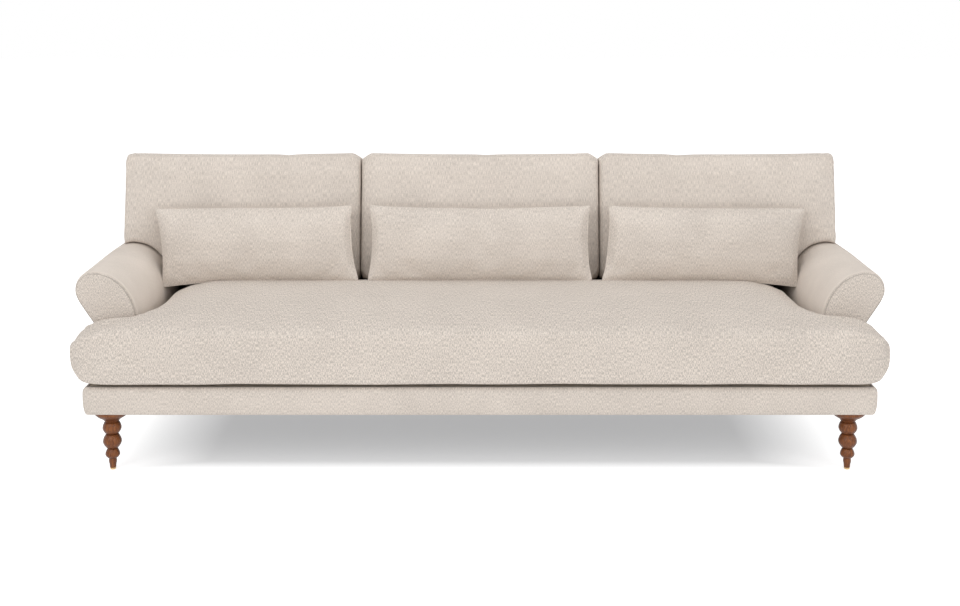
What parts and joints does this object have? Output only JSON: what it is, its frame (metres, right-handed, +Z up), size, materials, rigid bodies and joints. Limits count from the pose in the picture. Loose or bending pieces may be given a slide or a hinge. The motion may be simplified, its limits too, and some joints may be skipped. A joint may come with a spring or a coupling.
{
  "type": "english roll arm sofa",
  "caption": "Upholstered sofa with low rolled arms, a T-shaped seat cushion, loose back cushions, lumbar pillows and turned wooden legs with brass tips.",
  "frame": {"origin": "on the floor, in the middle of the sofa's length and depth", "axes": "+X to the right as seen from the front, -Y towards the front, +Z up"},
  "size_m": [2.5, 0.99, 0.8928],
  "materials": {
    "linen_upholstery": "matt plain-woven linen blend, beige, lightly slubbed",
    "linen_cushions": "matt plain-woven linen blend, beige, lightly slubbed",
    "platform_cloth": "matt plain cotton platform cloth",
    "dust_cloth": "matt black non-woven cloth",
    "jute_webbing": "matt woven jute",
    "hardwood_frame": "planed, unfinished",
    "walnut_legs": "satin oiled walnut",
    "brass_ferrules": "polished",
    "steel_fixings": "zinc plated"
  },
  "bodies": {
    "frame": {"front_seat_rail": "hardwood_frame", "rear_seat_rail": "hardwood_frame", "left_seat_rail": "hardwood_frame", "right_seat_rail": "hardwood_frame", "left_seat_stretcher": "hardwood_frame", "right_seat_stretcher": "hardwood_frame", "front_left_corner_block": "hardwood_frame", "front_right_corner_block": "hardwood_frame", "rear_left_corner_block": "hardwood_frame", "rear_right_corner_block": "hardwood_frame", "seat_webbing": "jute_webbing", "seat_deck": "platform_cloth", "dust_cover": "dust_cloth", "base_band": "linen_upholstery", "front_left_leg": "walnut_legs", "front_right_leg": "walnut_legs", "rear_left_leg": "walnut_legs", "rear_right_leg": "walnut_legs", "front_left_ferrule": "brass_ferrules", "front_right_ferrule": "brass_ferrules", "rear_left_ferrule": "brass_ferrules", "rear_right_ferrule": "brass_ferrules", "front_left_hanger_bolt": "steel_fixings", "front_right_hanger_bolt": "steel_fixings", "rear_left_hanger_bolt": "steel_fixings", "rear_right_hanger_bolt": "steel_fixings", "front_left_tee_nut": "steel_fixings", "front_right_tee_nut": "steel_fixings", "rear_left_tee_nut": "steel_fixings", "rear_right_tee_nut": "steel_fixings", "left_arm_front_stump": "hardwood_frame", "left_arm_rear_stump": "hardwood_frame", "left_arm_top_rail": "hardwood_frame", "left_arm_cover": "linen_upholstery", "left_arm_front_panel": "linen_upholstery", "right_arm_front_stump": "hardwood_frame", "right_arm_rear_stump": "hardwood_frame", "right_arm_top_rail": "hardwood_frame", "right_arm_cover": "linen_upholstery", "right_arm_front_panel": "linen_upholstery", "left_outer_back_post": "hardwood_frame", "left_inner_back_post": "hardwood_frame", "right_inner_back_post": "hardwood_frame", "right_outer_back_post": "hardwood_frame", "back_top_rail": "hardwood_frame", "back_tack_rail": "hardwood_frame", "back_webbing": "jute_webbing", "inside_back_pad": "linen_upholstery", "outside_back_cover": "linen_upholstery"},
    "seat_cushion": {"seat_cushion": "linen_cushions"},
    "left_back_cushion": {"left_back_cushion": "linen_cushions"},
    "centre_back_cushion": {"centre_back_cushion": "linen_cushions"},
    "right_back_cushion": {"right_back_cushion": "linen_cushions"},
    "left_lumbar_pillow": {"left_lumbar_pillow": "linen_cushions"},
    "centre_lumbar_pillow": {"centre_lumbar_pillow": "linen_cushions"},
    "right_lumbar_pillow": {"right_lumbar_pillow": "linen_cushions"}
  },
  "joints": [
    {"name": "seat_cushion_pull_out", "type": "slide", "parent": "frame", "child": "seat_cushion", "axis": [0, -1, 0], "range_m": [0, 0.85]},
    {"name": "left_back_cushion_lift", "type": "slide", "parent": "frame", "child": "left_back_cushion", "axis": [0, 0.1908, 0.9816], "range_m": [0, 0.45]},
    {"name": "centre_back_cushion_lift", "type": "slide", "parent": "frame", "child": "centre_back_cushion", "axis": [0, 0.1908, 0.9816], "range_m": [0, 0.45]},
    {"name": "right_back_cushion_lift", "type": "slide", "parent": "frame", "child": "right_back_cushion", "axis": [0, 0.1908, 0.9816], "range_m": [0, 0.45]},
    {"name": "left_lumbar_pillow_pick_up", "type": "slide", "parent": "left_back_cushion", "child": "left_lumbar_pillow", "axis": [0, -0.866, 0.5], "range_m": [0, 0.45]},
    {"name": "centre_lumbar_pillow_pick_up", "type": "slide", "parent": "centre_back_cushion", "child": "centre_lumbar_pillow", "axis": [0, -0.866, 0.5], "range_m": [0, 0.45]},
    {"name": "right_lumbar_pillow_pick_up", "type": "slide", "parent": "right_back_cushion", "child": "right_lumbar_pillow", "axis": [0, -0.866, 0.5], "range_m": [0, 0.45]}
  ]
}
